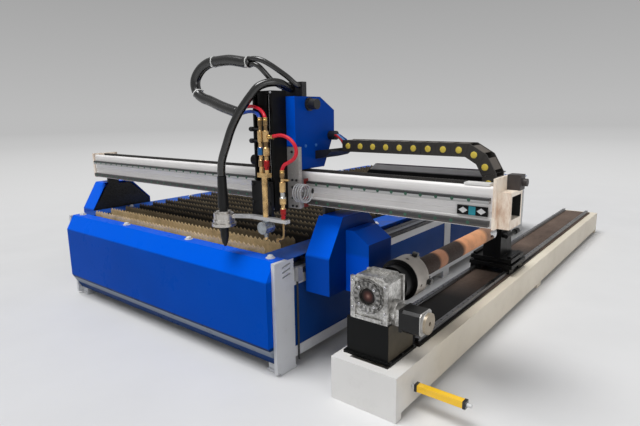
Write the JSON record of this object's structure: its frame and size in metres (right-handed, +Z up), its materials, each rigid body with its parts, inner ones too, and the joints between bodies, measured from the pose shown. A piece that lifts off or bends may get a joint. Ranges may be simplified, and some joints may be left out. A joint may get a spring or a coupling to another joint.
{
  "type": "CNC plasma cutting table",
  "caption": "Slatted plasma cutting table with a travelling gantry, a motor-driven torch lifter and a pipe-turning chuck on its own bed alongside.",
  "frame": {"origin": "middle of the footprint, on the floor", "axes": "+X along the gantry beam towards the rotary, +Y along the table away from its front cover, +Z up"},
  "size_m": [2.88, 3.698, 1.356],
  "materials": {
    "blue_sheet": "gloss",
    "border_paint": "satin",
    "pale_paint": "satin",
    "navy_panel": "satin",
    "cut_steel": "rough",
    "dark_steel": "rough",
    "rail_steel": "ground",
    "beam_alu": "anodised",
    "plate_alu": "machined",
    "gearbox_alu": "cast",
    "chuck_steel": "ground",
    "rusty_pipe": "rusty",
    "bed_brown": "rough",
    "black_paint": "satin",
    "black_plastic": "matte",
    "yellow_paint": "gloss",
    "torch_brass": "polished",
    "hose_rubber": "matte",
    "gas_rubber": "matte",
    "white_cord": "gloss"
  },
  "bodies": {
    "table": {"legs": "pale_paint", "frame_beams": "pale_paint", "side_panels": "navy_panel", "front_cover": "blue_sheet", "top_border": "border_paint", "slats": "cut_steel", "slat_combs": "cut_steel", "tray": "dark_steel", "y_rails": "rail_steel", "y_racks": "rail_steel", "limit_switch": "black_plastic", "bed_beams": "pale_paint", "bed_ends": "pale_paint", "bed_plate": "bed_brown", "bed_rails": "rail_steel", "pedestal": "black_paint", "gearbox": "gearbox_alu", "rotary_motor": "black_paint", "light_bar": "yellow_paint"},
    "gantry": {"beam": "beam_alu", "beam_ends": "pale_paint", "end_connector": "black_plastic", "x_rails": "rail_steel", "x_rack": "rail_steel", "foot_right": "blue_sheet", "foot_left": "blue_sheet", "drive_cover_right": "blue_sheet", "drive_cover_left": "blue_sheet", "saddles": "rail_steel", "y_blocks": "rail_steel", "y_motors": "black_paint", "cable_tray": "pale_paint", "drag_chain": "black_plastic"},
    "y_pinion_right": {"y_pinion_right": "rail_steel"},
    "y_pinion_left": {"y_pinion_left": "rail_steel"},
    "carriage": {"carriage_plate": "plate_alu", "x_blocks": "rail_steel", "carriage_cover": "blue_sheet", "x_motor": "black_paint", "cover_fittings": "black_plastic", "coil_cord": "white_cord", "z_column": "black_paint"},
    "x_pinion": {"x_pinion": "rail_steel"},
    "z_screw": {"z_screw": "rail_steel"},
    "lifter": {"torch_bar": "plate_alu", "torch_clamp": "plate_alu", "torch": "black_plastic", "flame_torch": "torch_brass", "gas_tee": "torch_brass", "gas_hoses": "gas_rubber", "hose_bundle": "hose_rubber", "torch_lead": "hose_rubber"},
    "chuck": {"chuck": "chuck_steel", "pipe": "rusty_pipe"},
    "jaw_1": {"jaw_1": "chuck_steel"},
    "jaw_2": {"jaw_2": "chuck_steel"},
    "jaw_3": {"jaw_3": "chuck_steel"},
    "jaw_4": {"jaw_4": "chuck_steel"},
    "tailstock": {"tailstock": "black_paint"},
    "tail_center": {"tail_center": "chuck_steel"}
  },
  "joints": [
    {"name": "gantry_travel", "type": "slide", "parent": "table", "child": "gantry", "axis": [0, 1, 0], "range_m": [-0.03, 2.65]},
    {"name": "y_pinion_right_turn", "type": "hinge", "parent": "gantry", "child": "y_pinion_right", "pos_m": [0.581, -1.3945, 0.398], "axis": [1, 0, 0], "range_deg": [-60, 4520]},
    {"name": "y_pinion_left_turn", "type": "hinge", "parent": "gantry", "child": "y_pinion_left", "pos_m": [-1.181, -1.3945, 0.398], "axis": [1, 0, 0], "range_deg": [-60, 4520]},
    {"name": "carriage_travel", "type": "slide", "parent": "gantry", "child": "carriage", "axis": [1, 0, 0], "range_m": [-1.28, 0.735], "deforming": ["drag_chain"]},
    {"name": "x_pinion_turn", "type": "hinge", "parent": "carriage", "child": "x_pinion", "pos_m": [0.462, -1.457, 0.857], "axis": [0, 0, 1], "range_deg": [-1260, 2180]},
    {"name": "lifter_travel", "type": "slide", "parent": "carriage", "child": "lifter", "axis": [0, 0, 1], "range_m": [-0.008, 0.11], "deforming": ["hose_bundle", "torch_lead"]},
    {"name": "z_screw_turn", "type": "hinge", "parent": "carriage", "child": "z_screw", "pos_m": [0.446, -1.643, 0.88], "axis": [0, 0, 1], "range_deg": [-300, 3980]},
    {"name": "chuck_turn", "type": "hinge", "parent": "table", "child": "chuck", "pos_m": [0.97, -1.403, 0.432], "axis": [0, 1, 0], "continuous": true},
    {"name": "jaw_1_slide", "type": "slide", "parent": "chuck", "child": "jaw_1", "axis": [0.9781, 0, -0.2079], "range_m": [0, 0.02]},
    {"name": "jaw_2_slide", "type": "slide", "parent": "chuck", "child": "jaw_2", "axis": [0.2079, 0, 0.9781], "range_m": [0, 0.02]},
    {"name": "jaw_3_slide", "type": "slide", "parent": "chuck", "child": "jaw_3", "axis": [-0.9781, 0, 0.2079], "range_m": [0, 0.02]},
    {"name": "jaw_4_slide", "type": "slide", "parent": "chuck", "child": "jaw_4", "axis": [-0.2079, 0, -0.9781], "range_m": [0, 0.02]},
    {"name": "tailstock_travel", "type": "slide", "parent": "table", "child": "tailstock", "axis": [0, 1, 0], "range_m": [0, 1.9]},
    {"name": "tail_center_turn", "type": "hinge", "parent": "tailstock", "child": "tail_center", "pos_m": [0.97, -0.473, 0.432], "axis": [0, 1, 0], "continuous": true}
  ],
  "couplings": [
    {"joint": "y_pinion_right_turn", "follows": "gantry_travel", "rad_per_m": 29.412},
    {"joint": "y_pinion_left_turn", "follows": "gantry_travel", "rad_per_m": 29.412},
    {"joint": "x_pinion_turn", "follows": "carriage_travel", "rad_per_m": -29.412},
    {"joint": "z_screw_turn", "follows": "lifter_travel", "rad_per_m": 628.32},
    {"joint": "jaw_2_slide", "follows": "jaw_1_slide", "ratio": 1},
    {"joint": "jaw_3_slide", "follows": "jaw_1_slide", "ratio": 1},
    {"joint": "jaw_4_slide", "follows": "jaw_1_slide", "ratio": 1},
    {"joint": "tail_center_turn", "follows": "chuck_turn", "ratio": 1}
  ]
}
